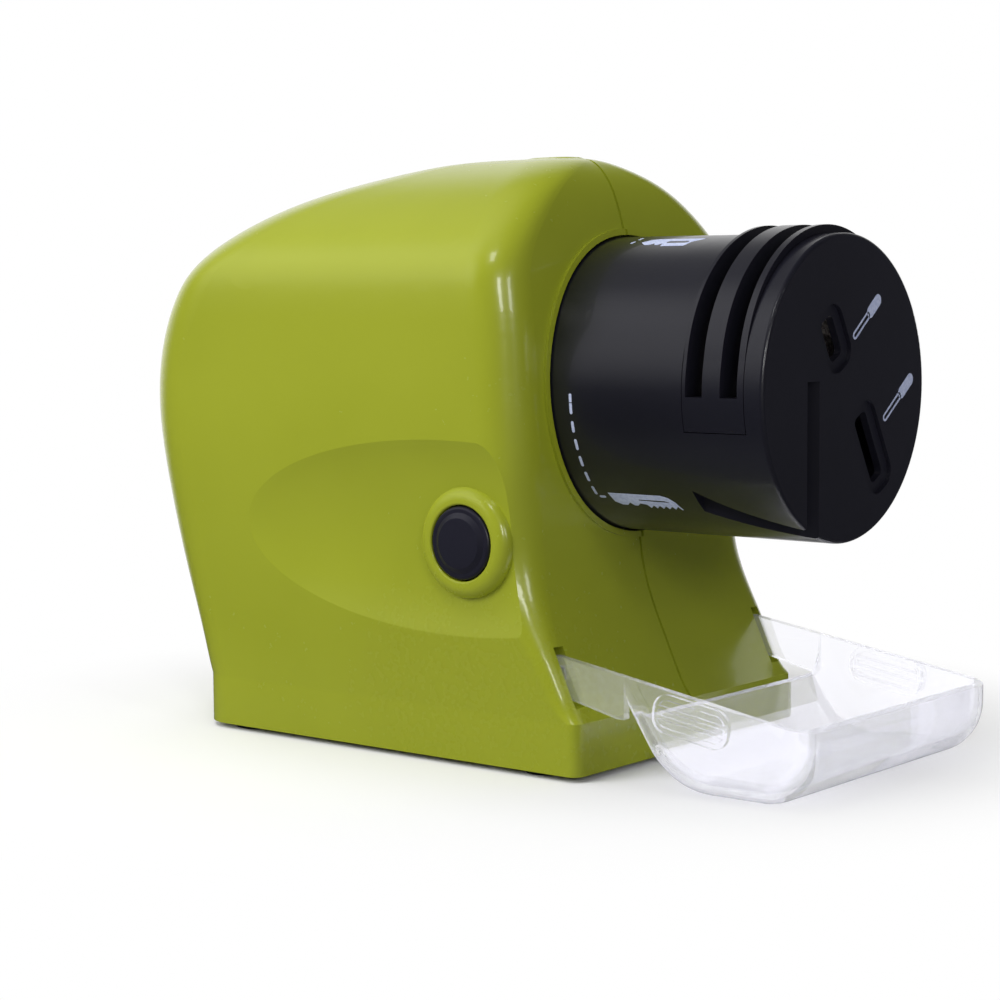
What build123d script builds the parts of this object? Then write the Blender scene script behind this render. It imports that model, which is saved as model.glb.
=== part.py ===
from build123d import *
import os
from math import cos, pi, radians, sin, sqrt, tan

# Battery electric knife sharpener. Millimetres.
# +X runs forward along the drum axis, +Z is up, and the origin is on the table
# under the middle of the base. The push button is on the -Y side.

# ---------------------------------------------------------------- housing
body_height = 80.4        # table to crown
base_length = 69.0        # skirt, front to back
base_width = 51.2         # skirt, side to side
body_width = 56.0         # widest, at the bulge
bulge_reach = 45.9        # rearmost point, behind the origin
bulge_height = 46.8       # height of that point
face_reach = 26.0         # upright front face, ahead of the origin
skirt_height = 7.5        # plain vertical skirt round the base
bow_power = 1.3           # the sides leave the skirt gently
slope_top = 29.5          # where the sloping apron meets the front face
lean_start = 40.0         # above this the front face leans back
crown_radius = 33.7       # cross section over the top
haunch_radius = 9.9       # cross section where the top meets the sides
crown_front = 12.0        # where the front curve would come level
crown_rear = 20.4         # where the rear curve would come level
corner_base = 6.0         # rear corners in plan, at the skirt
corner_bulge = 12.5       # rear corners in plan, at the bulge
corner_lip = 1.6          # front corners in plan, at the skirt
corner_face = 6.0         # front corners in plan, at the upright face
wall = 2.0                # housing wall
seam_half = 0.25          # each shell's half of the parting groove
seam_depth = 0.35

scoop_length = 56.0       # half axes of the finger scoops in the sides
scoop_bulge = 8.0
scoop_rise = 21.3
scoop_depth = 2.2
scoop_x = 14.5
scoop_z = 27.2

# ---------------------------------------------------------------- drum
drum_radius = 19.7
drum_axis = 49.6          # height above the table
drum_front = 58.3         # front of the cover, ahead of the origin
drum_wall = 1.7
pocket_depth = 3.9        # how far the drum runs into the housing face
drum_gap = 0.3            # between the drum and the housing
lip_width = 0.8           # raised lip of the housing round the drum
lip_proud = 0.45
cover_thick = 1.6
cover_round = 0.5         # rounded front edge of the cover
spigot_depth = 3.2        # the cover's spigot reaches this far into the barrel
spigot_wall = 1.5
web_thick = 2.0           # rear web of the barrel
hub_wall = 1.6            # bearing tube of the barrel
neck_radius = 15.4        # fixed neck that the drum turns on
neck_reach = 36.0         # front end of the neck
bearing_clearance = 0.1

guide_rear = 46.4         # rear end of the knife guide's window
guide_front = 55.6        # front end of that window
guide_ends = 14.2         # its lower ends lie this far below the axis, degrees
rib_start = 12.0          # its ribs start this far above the axis, degrees
rib_proud = 1.1
rib_rear = 0.6            # rear rib
rib_middle = 2.6          # rib over the stone
slot_width = 2.5          # knife slots
slot_floor = -0.5         # slot floor, from the axis height
guide_inner = 13.2        # inner radius of the ribs
seat_gap = 0.1            # between pieces that seat on each other

scissor_width = 2.6
scissor_angle = 23.5      # the slot runs back and outward, in plan
scissor_y = -8.0          # where it crosses the cover's front
scissor_top = 1.2         # above the axis
scissor_rear = 45.0

driver_lean = 29.0        # screwdriver holes lean from the vertical
driver_width = 3.0
driver_sizes = (5.6, 9.6)         # lengths of the two holes
driver_places = ((-2.9, 6.4), (6.4, -7.8))   # y, and height from the axis
driver_border = 1.5       # funnel round each hole
driver_sink = 0.6
driver_round = 0.8

# ---------------------------------------------------------------- grinding
stone_radius = 12.0
stone_rim = 2.0           # width at the rim
stone_side = 7.1          # radius where the bevels end
stone_bevel = 2.3         # depth of each bevel along the axis
stone_bore = 3.0
hub_flange = 5.0          # flange of the stone's hub
hub_flange_thick = 1.5
shaft_radius = 1.15
shaft_front = 56.2
nut_radius = 4.4
nut_thick = 1.6

# ---------------------------------------------------------------- motor
motor_radius = 12.0
motor_length = 27.0
motor_front = 34.6        # front face of the can
motor_wall = 0.8
motor_fit = 0.15          # between the can and what holds it
cap_thick = 3.0
cap_spigot = 1.2
bush_radius = 3.0
bush_length = 2.2
shaft_clearance = 0.05    # running fit in the bushes
magnet_thick = 1.9
magnet_length = 20.0
magnet_gap = 25.0         # half of the angle left open between the two magnets
core_radius = 8.4
core_length = 13.0
core_poles = 3
core_hub = 3.2
shoe_thick = 1.2          # pole shoes
shoe_opening = 2.4        # between two shoes
tooth_width = 2.8
coil_thick = 1.7
coil_height = 3.0
commutator_radius = 2.6
commutator_length = 4.0
commutator_ahead = 1.2    # ahead of the end cap
commutator_slot = 0.4
brush_length = 2.0        # carbon block, along the shaft
brush_width = 1.6
brush_height = 2.2
brush_leaf = 0.4          # leaf spring that carries the carbon
brush_clearance = 0.1
terminal_length = 5.0
terminal_width = 2.4
terminal_thick = 0.5
terminal_y = 8.0
cradle_thick = 2.0        # rib that carries the rear of the motor
cradle_from_front = 24.0
cradle_margin = 3.2       # above and below the motor

# ---------------------------------------------------------------- cells
cell_radius = 7.2
cell_length = 50.5
cell_nub_radius = 2.7
cell_nub = 1.0
cell_gap = 0.2
row_gap = 0.8             # between the upper and the lower cells
cell_edge = 0.5
contact_spring = 1.7      # free room for a contact spring
contact_thick = 0.3
contact_width = 11.0
leaf_width = 5.0          # contact springs
leaf_length = 9.0
holder_wall = 1.3
holder_round = 2.0
holder_rear = 31.9        # rear end of the holder, behind the origin
door_gap = 0.3
door_thick = 1.7
door_side = 0.7           # the holder overlaps the base opening by this
hinge_radius = 0.6        # pins of the door
hinge_reach = 0.9
thumb_radius = 7.0        # thumb recess in the door
thumb_depth = 0.7
foot_radius = 3.5
foot_thick = 1.6
foot_proud = 0.7
foot_edge = 0.3
foot_x = 26.5
foot_y = 20.9

# ---------------------------------------------------------------- button
button_x = 16.9
button_z = 29.7
button_radius = 4.8
button_gap = 0.2
button_proud = 0.1        # rim of the button beyond its bezel
button_dome = 0.4
button_taper = 60
button_flange = 0.7       # flange beyond the button's radius
button_flange_thick = 0.9
bezel_radius = 7.4
bezel_proud = 1.9         # its crest, above the floor of the scoop
bezel_crest = 0.4         # width of the flat crest
bezel_edge = 0.3          # rounding at its bore
plunger_radius = 1.6
plunger_entry = 0.4       # how far it stands in the switch at rest
switch_length = 10.0
switch_depth = 2.7
switch_height = 8.0
switch_bore = 2.0
switch_floor = 0.6
spring_wire = 0.45
spring_radius = 3.1       # middle of the wire
spring_turns = 2.5
wire_sides = 6            # spring wire is drawn with this many flats

# ---------------------------------------------------------------- chip tray
tray_width = 47.1
tray_wall = 1.2
tray_reach = 67.0         # front rim, ahead of the origin
tray_rim = 9.6            # height of the rim there
tray_slope = 9.4          # the rim climbs towards the housing, degrees
tray_rear = 40.4          # rear wall of the bowl
tray_rear_height = 8.6
tray_floor_rear = 46.0    # where the rear wall meets the floor
tray_front_radius = 7.5
tray_edge_radius = 3.4
tray_pivot_x = 29.6
tray_pivot_z = 13.3
arm_root = 2.4            # radius of the arm's end round its pin
pin_radius = 1.0
pin_length = 1.3
pin_clearance = 0.1
pin_end_gap = 0.2
tray_slot_gap = 0.3
tray_slot_top = 16.8
tray_slot_bottom = 9.2
tray_slot_rear = 26.0
grip_x = 50.8
grip_length = 11.2
grip_height = 4.9
grip_z = 9.6
grip_proud = 0.7
grip_round = 2.0
grip_border = 0.7
grip_pocket = 0.45
grip_ribs = 2
grip_rib = 0.5

# ---------------------------------------------------------------- fasteners
case_screws = ((-37.5, 38.0), (-21.0, 66.0), (13.0, 71.4), (28.6, 5.6))   # x, z
case_screw_radius = 1.2
case_screw_length = 13.0
case_head_radius = 2.3
case_head_thick = 1.6
case_screw_seat = 7.0     # head seats this far from the middle plane
boss_radius = 3.4
head_gap = 0.2
ring_screw_radius = 0.8
ring_screw_length = 6.0
ring_head_radius = 1.5
ring_head_thick = 1.0
ring_thick = 1.4
ring_reach = 1.7          # the ring reaches this far past the neck
ring_lip = 0.35
cross_length = 2.6        # cross recess in the screw heads
cross_width = 0.6
detent_radius = 1.2       # steel ball that the drum clicks over
detent_proud = 0.25
detent_depth = 4.0        # of its hole
detent_floor = 0.8
detent_wall = 1.2
detent_ring = 17.4        # radius of the detent from the drum axis
detent_angle = 150.0
detent_wire = 0.3
detent_turns = 2.5
dimple_depth = 0.3
dimples = 4
hole_gap = 0.05           # between a screw and its hole

# ---------------------------------------------------------------- leads
lead_radius = 0.6
lead_bend = 3.0
lead_start = -26.0        # where the leads leave the battery holder

# ---------------------------------------------------------------- derived
base_plane = foot_proud
floor_top = base_plane + wall
pocket_radius = drum_radius + drum_gap
pocket_floor = face_reach - pocket_depth
drum_rear = pocket_floor + drum_gap
hub_inner = neck_radius + bearing_clearance
hub_outer = hub_inner + hub_wall
hub_front = neck_reach - drum_gap
ring_outer = neck_radius + ring_reach
cover_rear = drum_front - cover_thick
barrel_inner = drum_radius - drum_wall
neck_bore = motor_radius + motor_fit
ring_screw_ring = (neck_bore + neck_radius) / 2
slot_rear = guide_rear + rib_rear
slot_front = slot_rear + slot_width + rib_middle
stone_middle = slot_rear + slot_width + rib_middle / 2
stone_rear = stone_middle - stone_rim / 2 - stone_bevel
stone_front = stone_middle + stone_rim / 2 + stone_bevel
guide_low = drum_radius * sin(radians(guide_ends))
rib_top = drum_radius + rib_proud
rib_shift = (rib_top ** 2 - drum_radius ** 2) / 2 / (rib_top - drum_radius * sin(radians(rib_start)))
detent_x = pocket_floor + detent_proud - detent_radius

motor_rear = motor_front - motor_length
motor_inner = motor_radius - motor_wall
cap_rear = motor_rear - cap_thick
magnet_outer = motor_inner - hole_gap
magnet_front = motor_front - motor_wall - hole_gap
core_middle = motor_front - 0.52 * motor_length
commutator_rear = motor_rear + commutator_ahead
holder_length = cell_length + contact_spring + 2 * contact_thick + 2 * holder_wall
holder_front = holder_length - holder_rear
room_rear = holder_wall - holder_rear
room_front = holder_front - holder_wall
cell_low = floor_top + cell_gap + cell_radius
cell_high = cell_low + 2 * cell_radius + row_gap
cell_y = cell_radius + cell_gap / 2
holder_half = 2 * cell_radius + 1.5 * cell_gap + holder_wall
holder_top = cell_high + cell_radius + cell_gap + holder_wall
holder_step = (cell_low + cell_high) / 2
upper_shift = holder_front - (pocket_floor - wall - cell_gap)
opening_front = holder_front - door_side
opening_length = holder_length - 2 * door_side
opening_half = holder_half - door_side
hinge_x = opening_front - door_gap - door_thick / 2
hinge_z = base_plane + door_thick / 2

scoop_centre = body_width / 2 + scoop_bulge - scoop_depth - 0.5
scoop_floor = scoop_centre - scoop_bulge
inner_side = scoop_floor - wall
flange_front = inner_side - door_gap
flange_rear = flange_front - button_flange_thick
switch_front = holder_half + switch_depth
bezel_top = scoop_floor + bezel_proud
button_rim = bezel_top + button_proud

tray_half = tray_width / 2
slot_inner = tray_half - tray_wall - tray_slot_gap
slot_outer = tray_half + tray_slot_gap

haunch_y = body_width / 2 - haunch_radius
crown_z = body_height - crown_radius
haunch_z = crown_z + sqrt((crown_radius - haunch_radius) ** 2 - haunch_y ** 2)
haunch_top = crown_z + (haunch_z - crown_z) * crown_radius / (crown_radius - haunch_radius)

os.makedirs("parts", exist_ok=True)


# ================================================================ housing form
def blend(low, high, share):
    return low + (high - low) * min(1.0, max(0.0, share))


def rear_reach(z, inset):
    """Distance of the rear surface behind the origin, at height z."""
    if z <= skirt_height:
        return base_length / 2 - inset
    if z <= bulge_height:
        share = (z - skirt_height) / (bulge_height - skirt_height)
        return blend(base_length / 2, bulge_reach, 1 - (1 - share) ** 1.25) - inset
    share = (z - bulge_height) / (body_height - inset - bulge_height)
    curve = (1 - share ** 2.15) ** (1 / 3)
    return (bulge_reach - inset + crown_rear) * curve - crown_rear


def front_reach(z, inset):
    """Distance of the front surface ahead of the origin, at height z."""
    if z <= skirt_height:
        return base_length / 2 - inset
    if z <= slope_top:
        share = (z - skirt_height) / (slope_top - skirt_height)
        return blend(face_reach, base_length / 2, (1 - share) ** 1.6) - inset
    if z <= lean_start:
        return face_reach - inset
    share = (z - lean_start) / (body_height - inset - lean_start)
    curve = (1 - share ** 2) ** (1 / 4)
    return crown_front + (face_reach - inset - crown_front) * curve


def half_width(z, inset):
    """Half the width at height z: bowed sides, haunches and crown."""
    if z <= haunch_z:
        share = (z - skirt_height) / (bulge_height - skirt_height)
        bow = sin(min(1.0, max(0.0, share)) ** bow_power * pi / 2)
        return blend(base_width / 2, body_width / 2, bow) - inset
    if z <= haunch_top - inset * (haunch_top - crown_z) / crown_radius:
        return haunch_y + sqrt((haunch_radius - inset) ** 2 - (z - haunch_z) ** 2)
    return sqrt((crown_radius - inset) ** 2 - (z - crown_z) ** 2)


def half_section(z, inset, past):
    """One level outline of the button side's half, run past the middle plane."""
    rear, front, half = rear_reach(z, inset), front_reach(z, inset), half_width(z, inset)
    most = 0.46 * min(2 * half, rear + front)
    share = (z - skirt_height) / (bulge_height - skirt_height)
    rear_round = min(most, blend(corner_base, corner_bulge, share) - inset / 2)
    share = (z - skirt_height) / (slope_top - skirt_height)
    front_round = min(most, max(0.6, blend(corner_lip, corner_face, share) - inset / 2))
    with BuildSketch(Plane.XY.offset(z)) as section:
        with BuildLine():
            Line((-rear, past), (-rear, rear_round - half))
            CenterArc((rear_round - rear, rear_round - half), rear_round, 180, 90)
            Line((rear_round - rear, -half), (front - front_round, -half))
            CenterArc((front - front_round, front_round - half), front_round, 270, 90)
            Line((front, front_round - half), (front, past))
            Line((front, past), (-rear, past))
        make_face()
    return section.sketch


def half_form(inset, bottom, crown_shares, past):
    """Half of the housing's form, drawn in by inset and standing on the height bottom."""
    top = body_height - inset
    levels = [skirt_height, blend(skirt_height, slope_top, 0.25), blend(skirt_height, slope_top, 0.57)]
    levels += [slope_top, (slope_top + bulge_height) / 2, bulge_height]
    levels += [(bulge_height + haunch_z) / 2, haunch_z]
    levels += [blend(top, haunch_z, share) for share in crown_shares]
    with BuildPart() as form:
        add(half_section(bottom, inset, past))
        extrude(amount=skirt_height - bottom)
        for z in levels:
            add(half_section(z, inset, past))
        loft()
    return form.part


def scoop_form(grow):
    """The hollow for the fingers in the button side, larger all round by grow."""
    dish = scale(Sphere(1), by=(scoop_length + grow, scoop_bulge + grow, scoop_rise + grow))
    return dish.moved(Location((scoop_x, -scoop_centre, scoop_z)))


# ================================================================ working planes
def shared_axis(x, z):
    """A plane across the housing at x, z; its normal points to the button side."""
    return Plane((x, 0, z), x_dir=(1, 0, 0), z_dir=(0, -1, 0))


def drum_plane(x):
    """A plane square to the drum axis; local x runs to +Y and local y up."""
    return Plane((x, 0, drum_axis), x_dir=(0, 1, 0), z_dir=(1, 0, 0))


drum_line = Axis((0, 0, drum_axis), (1, 0, 0))


def turning(*points):
    """The outline of a turned piece, from points of (distance forward, radius)."""
    with BuildSketch(shared_axis(0, drum_axis)) as outline:
        with BuildLine():
            Polyline(*points, close=True)
        make_face()
    return outline.sketch


def save(piece, label):
    """Name a finished piece and write it to its own file."""
    piece.part.label = label
    export_step(piece.part, f"parts/{label}.step")


# ================================================================ shells
crown_shares = (0.76, 0.52, 0.33, 0.175, 0.075, 0.027, 0.005)
room_shares = (0.61, 0.31, 0.12, 0.03, 0.006)
past_middle = 3.0

near_form = half_form(0, base_plane, crown_shares, past_middle)
near_room = half_form(wall, floor_top, room_shares, past_middle + 1)
near_lip = half_form(-lip_proud, base_plane, crown_shares, past_middle)
near_seam = half_form(seam_depth, base_plane - 1, crown_shares, past_middle)
near_scoop = scoop_form(0)
near_scoop_wall = scoop_form(wall)

# Ribs, bosses and the pocket's wall, before they are trimmed to the outer form.
with BuildPart() as framework:
    with BuildSketch(drum_plane(pocket_floor - wall)):
        Circle(pocket_radius + wall)
    extrude(amount=pocket_depth + wall + 1)
    with BuildSketch(drum_plane(motor_front - cradle_from_front)):
        Rectangle(body_width, 2 * (motor_radius + cradle_margin))
    extrude(amount=cradle_thick)
    with Locations((tray_slot_rear - wall, -(slot_inner + slot_outer) / 2, floor_top)):
        Box(base_length / 2, slot_outer - slot_inner + 2 * wall, tray_slot_top - floor_top + wall,
            align=(Align.MIN, Align.CENTER, Align.MIN))
    for x, z in case_screws:
        with BuildSketch(shared_axis(x, z)):
            Circle(boss_radius)
        extrude(amount=body_width / 2, both=True)
trimmed_framework = framework.part & (near_form - near_scoop)

# The raised lip that follows the face round the drum.
with BuildPart() as lip:
    with BuildSketch(drum_plane(pocket_floor)):
        Circle(pocket_radius + lip_width)
    extrude(amount=pocket_depth + 2 * lip_proud)
trimmed_lip = lip.part & near_lip

# Half of the parting groove.
with BuildPart() as groove_slab:
    with Locations((0, -seam_half, 0)):
        Box(3 * base_length, past_middle, 3 * body_height,
            align=(Align.CENTER, Align.MIN, Align.CENTER))
groove = groove_slab.part - near_seam

# What the two shells share, on the button side.
with BuildPart() as half_shell:
    add(near_form)
    add(near_scoop, mode=Mode.SUBTRACT)
    add(near_room - near_scoop_wall, mode=Mode.SUBTRACT)
    add(trimmed_framework)
    add(trimmed_lip)
    # Pocket for the drum, the neck it turns on, and the motor's seat.
    with BuildSketch(drum_plane(pocket_floor)):
        Circle(pocket_radius)
    extrude(amount=2 * pocket_depth, mode=Mode.SUBTRACT)
    with BuildSketch(drum_plane(pocket_floor - wall)):
        Circle(neck_radius)
    extrude(amount=neck_reach - pocket_floor + wall)
    with BuildSketch(drum_plane(motor_rear)):
        Circle(neck_bore)
    extrude(amount=neck_reach - motor_rear, mode=Mode.SUBTRACT)
    # Slot for an arm of the chip tray, with the blind hole for its pin.
    with Locations((tray_slot_rear, -slot_inner, tray_slot_bottom)):
        Box(base_length / 2, slot_outer - slot_inner, tray_slot_top - tray_slot_bottom,
            align=(Align.MIN, Align.MAX, Align.MIN), mode=Mode.SUBTRACT)
    with BuildSketch(shared_axis(tray_pivot_x, tray_pivot_z).offset(slot_inner)):
        Circle(pin_radius + pin_clearance)
    extrude(amount=-(pin_length - tray_slot_gap + pin_end_gap), mode=Mode.SUBTRACT)
    # Battery opening, the holes of the door's pins and the recesses of the feet.
    with Locations((opening_front, 0, base_plane - wall)):
        Box(opening_length, 2 * opening_half, 3 * wall,
            align=(Align.MAX, Align.CENTER, Align.MIN), mode=Mode.SUBTRACT)
    with BuildSketch(shared_axis(hinge_x, hinge_z).offset(opening_half - door_gap)):
        Circle(hinge_radius + hole_gap)
    extrude(amount=hinge_reach + hole_gap, mode=Mode.SUBTRACT)
    with BuildSketch(Plane.XY.offset(base_plane)):
        with GridLocations(2 * foot_x, 2 * foot_y, 2, 2):
            Circle(foot_radius + hole_gap)
    extrude(amount=foot_thick - foot_proud, mode=Mode.SUBTRACT)
    split(bisect_by=Plane.XZ, keep=Keep.TOP)
    add(groove, mode=Mode.SUBTRACT)

# Screw holes: counterbored in the far shell, blind pilots in the button side.
with BuildPart() as screw_holes:
    for x, z in case_screws:
        with BuildSketch(shared_axis(x, z)):
            Circle(case_screw_radius + hole_gap)
        extrude(amount=case_screw_length - case_screw_seat + 1)
        with BuildSketch(shared_axis(x, z)):
            Circle(case_screw_radius + head_gap)
        extrude(amount=-case_screw_seat)
        with BuildSketch(shared_axis(x, z).offset(-case_screw_seat)):
            Circle(case_head_radius + head_gap)
        extrude(amount=-body_width)
    with BuildSketch(drum_plane(neck_reach)):
        with PolarLocations(ring_screw_ring, 3):
            Circle(ring_screw_radius + hole_gap)
    extrude(amount=-ring_screw_length)

# The raised bezel round the button, a turned ring.
with BuildPart() as bezel:
    with BuildSketch(Plane((button_x, 0, button_z), x_dir=(1, 0, 0), z_dir=(0, 0, 1))):
        with BuildLine():
            bore = button_radius + button_gap
            inner = bore + bezel_edge
            crest = inner + bezel_crest
            Line((bore, -inner_side), (bore, bezel_edge - bezel_top))
            TangentArc((bore, bezel_edge - bezel_top), (inner, -bezel_top), tangent=(0, -1))
            Line((inner, -bezel_top), (crest, -bezel_top))
            TangentArc((crest, -bezel_top), (bezel_radius, -scoop_floor), tangent=(1, 0))
            Line((bezel_radius, -scoop_floor), (bezel_radius, -inner_side))
            Line((bezel_radius, -inner_side), (bore, -inner_side))
        make_face()
    revolve(axis=Axis((button_x, 0, button_z), (0, 1, 0)))

with BuildPart() as right_shell:
    add(half_shell.part)
    add(bezel.part)
    with BuildSketch(shared_axis(button_x, button_z).offset(flange_front)):
        Circle(button_radius + button_gap)
    extrude(amount=body_width / 2, mode=Mode.SUBTRACT)
    # Boss and blind hole of the drum's detent, behind the pocket.
    with BuildSketch(drum_plane(pocket_floor - wall / 2)):
        with PolarLocations(detent_ring, 1, start_angle=detent_angle):
            Circle(detent_radius + detent_wall)
    extrude(amount=-(detent_depth + detent_floor - wall / 2))
    with BuildSketch(drum_plane(pocket_floor)):
        with PolarLocations(detent_ring, 1, start_angle=detent_angle):
            Circle(detent_radius + hole_gap)
    extrude(amount=-detent_depth, mode=Mode.SUBTRACT)
    add(screw_holes.part, mode=Mode.SUBTRACT)

with BuildPart() as left_shell:
    mirror(half_shell.part, about=Plane.XZ)
    add(screw_holes.part, mode=Mode.SUBTRACT)

save(right_shell, "right_shell")
save(left_shell, "left_shell")

# ================================================================ housing fasteners
# Four self-tapping screws that draw the shells together, as one group.
with BuildPart() as case_screw_group:
    for x, z in case_screws:
        with BuildSketch(shared_axis(x, z).offset(-case_screw_seat)):
            Circle(case_screw_radius)
        extrude(amount=case_screw_length)
        with BuildSketch(shared_axis(x, z).offset(-case_screw_seat)):
            Circle(case_head_radius)
        extrude(amount=-case_head_thick)
    recess = cross_width / 2
    for x, z in case_screws:
        with BuildSketch(shared_axis(x, z).offset(-case_screw_seat - case_head_thick)):
            Rectangle(cross_length, cross_width)
            Rectangle(cross_width, cross_length)
        extrude(amount=case_head_thick / 2, mode=Mode.SUBTRACT)
save(case_screw_group, "case_screws")

# Four pads let into the base.
with BuildPart() as rubber_feet:
    with BuildSketch(Plane.XY):
        with GridLocations(2 * foot_x, 2 * foot_y, 2, 2):
            Circle(foot_radius)
    extrude(amount=foot_thick)
    chamfer(rubber_feet.edges().group_by(Axis.Z)[0], foot_edge)
save(rubber_feet, "rubber_feet")

# The ring that keeps the drum on its neck, with its three screws.
with BuildPart() as retaining_ring:
    with BuildSketch(drum_plane(neck_reach)):
        Circle(ring_outer)
        Circle(neck_bore + ring_lip, mode=Mode.SUBTRACT)
        with PolarLocations(ring_screw_ring, 3):
            Circle(ring_screw_radius + hole_gap, mode=Mode.SUBTRACT)
    extrude(amount=ring_thick)
save(retaining_ring, "retaining_ring")

with BuildPart() as ring_screws:
    with BuildSketch(drum_plane(neck_reach + ring_thick)):
        with PolarLocations(ring_screw_ring, 3):
            Circle(ring_head_radius)
    extrude(amount=ring_head_thick)
    with BuildSketch(drum_plane(neck_reach + ring_thick)):
        with PolarLocations(ring_screw_ring, 3):
            Circle(ring_screw_radius)
    extrude(amount=-ring_screw_length)
save(ring_screws, "ring_screws")

# Steel ball that the drum clicks over, and the spring behind it.
detent_y = detent_ring * cos(radians(detent_angle))
detent_z = detent_ring * sin(radians(detent_angle))
with BuildPart() as detent_ball:
    with Locations((detent_x, detent_y, drum_axis + detent_z)):
        Sphere(detent_radius)
save(detent_ball, "detent_ball")

detent_room = detent_x - detent_radius - (pocket_floor - detent_depth) - 2 * hole_gap
with BuildPart() as detent_spring:
    spring_foot = pocket_floor - detent_depth + hole_gap + detent_wire / 2
    with BuildLine() as detent_coil:
        Helix((detent_room - detent_wire) / detent_turns, detent_room - detent_wire,
              detent_radius - detent_wire, center=(spring_foot, detent_y, drum_axis + detent_z),
              direction=(1, 0, 0))
    with BuildSketch(Plane(detent_coil.line @ 0, z_dir=detent_coil.line % 0)):
        RegularPolygon(detent_wire / 2, wire_sides)
    sweep()
save(detent_spring, "detent_spring")

# ================================================================ motor
with BuildPart() as motor_can:
    revolve(turning((motor_rear, motor_inner), (motor_rear, motor_radius), (motor_front, motor_radius),
                    (motor_front, bush_radius + hole_gap),
                    (motor_front - motor_wall, bush_radius + hole_gap),
                    (motor_front - motor_wall, motor_inner)), axis=drum_line)
    fillet(motor_can.edges().group_by(Axis.X)[-1].sort_by(SortBy.RADIUS)[-1], motor_wall)
save(motor_can, "motor_can")

with BuildPart() as motor_end_cap:
    revolve(turning((cap_rear, bush_radius + hole_gap), (cap_rear, motor_radius), (motor_rear, motor_radius),
                    (motor_rear, motor_inner - hole_gap),
                    (motor_rear + cap_spigot, motor_inner - hole_gap),
                    (motor_rear + cap_spigot, motor_inner - 2 * motor_wall),
                    (motor_rear, motor_inner - 2 * motor_wall),
                    (motor_rear, bush_radius + hole_gap)), axis=drum_line)
    with BuildSketch(drum_plane(cap_rear)):
        with GridLocations(2 * terminal_y, 0, 2, 1):
            Rectangle(terminal_thick + 2 * hole_gap, terminal_width + 2 * hole_gap)
    extrude(amount=cap_thick, mode=Mode.SUBTRACT)
save(motor_end_cap, "motor_end_cap")

with BuildPart() as motor_terminals:
    with BuildSketch(drum_plane(motor_rear)):
        with GridLocations(2 * terminal_y, 0, 2, 1):
            Rectangle(terminal_thick, terminal_width)
    extrude(amount=-(cap_thick + terminal_length))
save(motor_terminals, "motor_terminals")

# Two arc magnets against the wall of the can.
with BuildPart() as motor_magnets:
    with BuildSketch(drum_plane(magnet_front)):
        Circle(magnet_outer)
        Circle(magnet_outer - magnet_thick, mode=Mode.SUBTRACT)
        opening = magnet_outer * tan(radians(magnet_gap))
        for side in (-1, 1):
            Polygon((0, 0), (-opening, side * magnet_outer), (opening, side * magnet_outer),
                    align=None, mode=Mode.SUBTRACT)
    extrude(amount=-magnet_length)
save(motor_magnets, "motor_magnets")

# Sintered bushes in the can's face and in the end cap.
for label, bush_rear in (("front_bush", motor_front - motor_wall),
                         ("rear_bush", motor_rear - bush_length)):
    with BuildPart() as bush:
        bore = shaft_radius + shaft_clearance
        revolve(turning((bush_rear, bore), (bush_rear, bush_radius), (bush_rear + bush_length, bush_radius),
                        (bush_rear + bush_length, bore)), axis=drum_line)
    save(bush, label)

# Carbon blocks on leaf springs, above and below the commutator.
with BuildPart() as motor_brushes:
    for side in (-1, 1):
        contact = side * (commutator_radius + brush_clearance)
        with BuildSketch(drum_plane(commutator_rear + (commutator_length - brush_length) / 2)):
            with Locations((0, contact)):
                Rectangle(brush_width, brush_height,
                          align=(Align.CENTER, Align.MIN if side > 0 else Align.MAX))
        extrude(amount=brush_length)
        with BuildSketch(drum_plane(motor_rear)):
            with Locations((0, contact + side * brush_height)):
                Rectangle(2 * brush_width, brush_leaf,
                          align=(Align.CENTER, Align.MIN if side > 0 else Align.MAX))
        extrude(amount=commutator_ahead + (commutator_length + brush_length) / 2)
save(motor_brushes, "motor_brushes")

# ================================================================ rotor
with BuildPart() as motor_shaft:
    shaft_rear = motor_rear - bush_length
    revolve(turning((shaft_rear, 0), (shaft_rear, shaft_radius), (shaft_front, shaft_radius),
                    (shaft_front, 0)), axis=drum_line)
    chamfer(motor_shaft.edges().group_by(Axis.X)[-1], shaft_radius / 4)
save(motor_shaft, "motor_shaft")

with BuildPart() as armature_core:
    with BuildSketch(drum_plane(core_middle)):
        Circle(core_radius)
        Circle(core_radius - shoe_thick, mode=Mode.SUBTRACT)
        with PolarLocations(core_radius, core_poles, start_angle=90 + 180 / core_poles):
            Rectangle(4 * shoe_thick, shoe_opening, mode=Mode.SUBTRACT)
        with PolarLocations((core_radius - shoe_thick / 2) / 2, core_poles, start_angle=90):
            Rectangle(core_radius - shoe_thick / 2, tooth_width)
        Circle(core_hub)
        Circle(shaft_radius + hole_gap, mode=Mode.SUBTRACT)
    extrude(amount=core_length / 2, both=True)
save(armature_core, "armature_core")

# A coil of wire round each pole.
with BuildPart() as armature_windings:
    for pole in range(core_poles):
        turn = radians(90 + 360 / core_poles * pole)
        out = sqrt((core_radius - shoe_thick - hole_gap) ** 2 - (tooth_width / 2 + coil_thick) ** 2)
        out -= coil_height
        foot = (core_middle, out * cos(turn), drum_axis + out * sin(turn))
        with BuildSketch(Plane(foot, x_dir=(1, 0, 0), z_dir=(0, cos(turn), sin(turn)))):
            RectangleRounded(core_length + 2 * coil_thick, tooth_width + 2 * coil_thick, coil_thick)
            Rectangle(core_length + 2 * hole_gap, tooth_width + 2 * hole_gap, mode=Mode.SUBTRACT)
        extrude(amount=coil_height)
save(armature_windings, "armature_windings")

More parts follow.
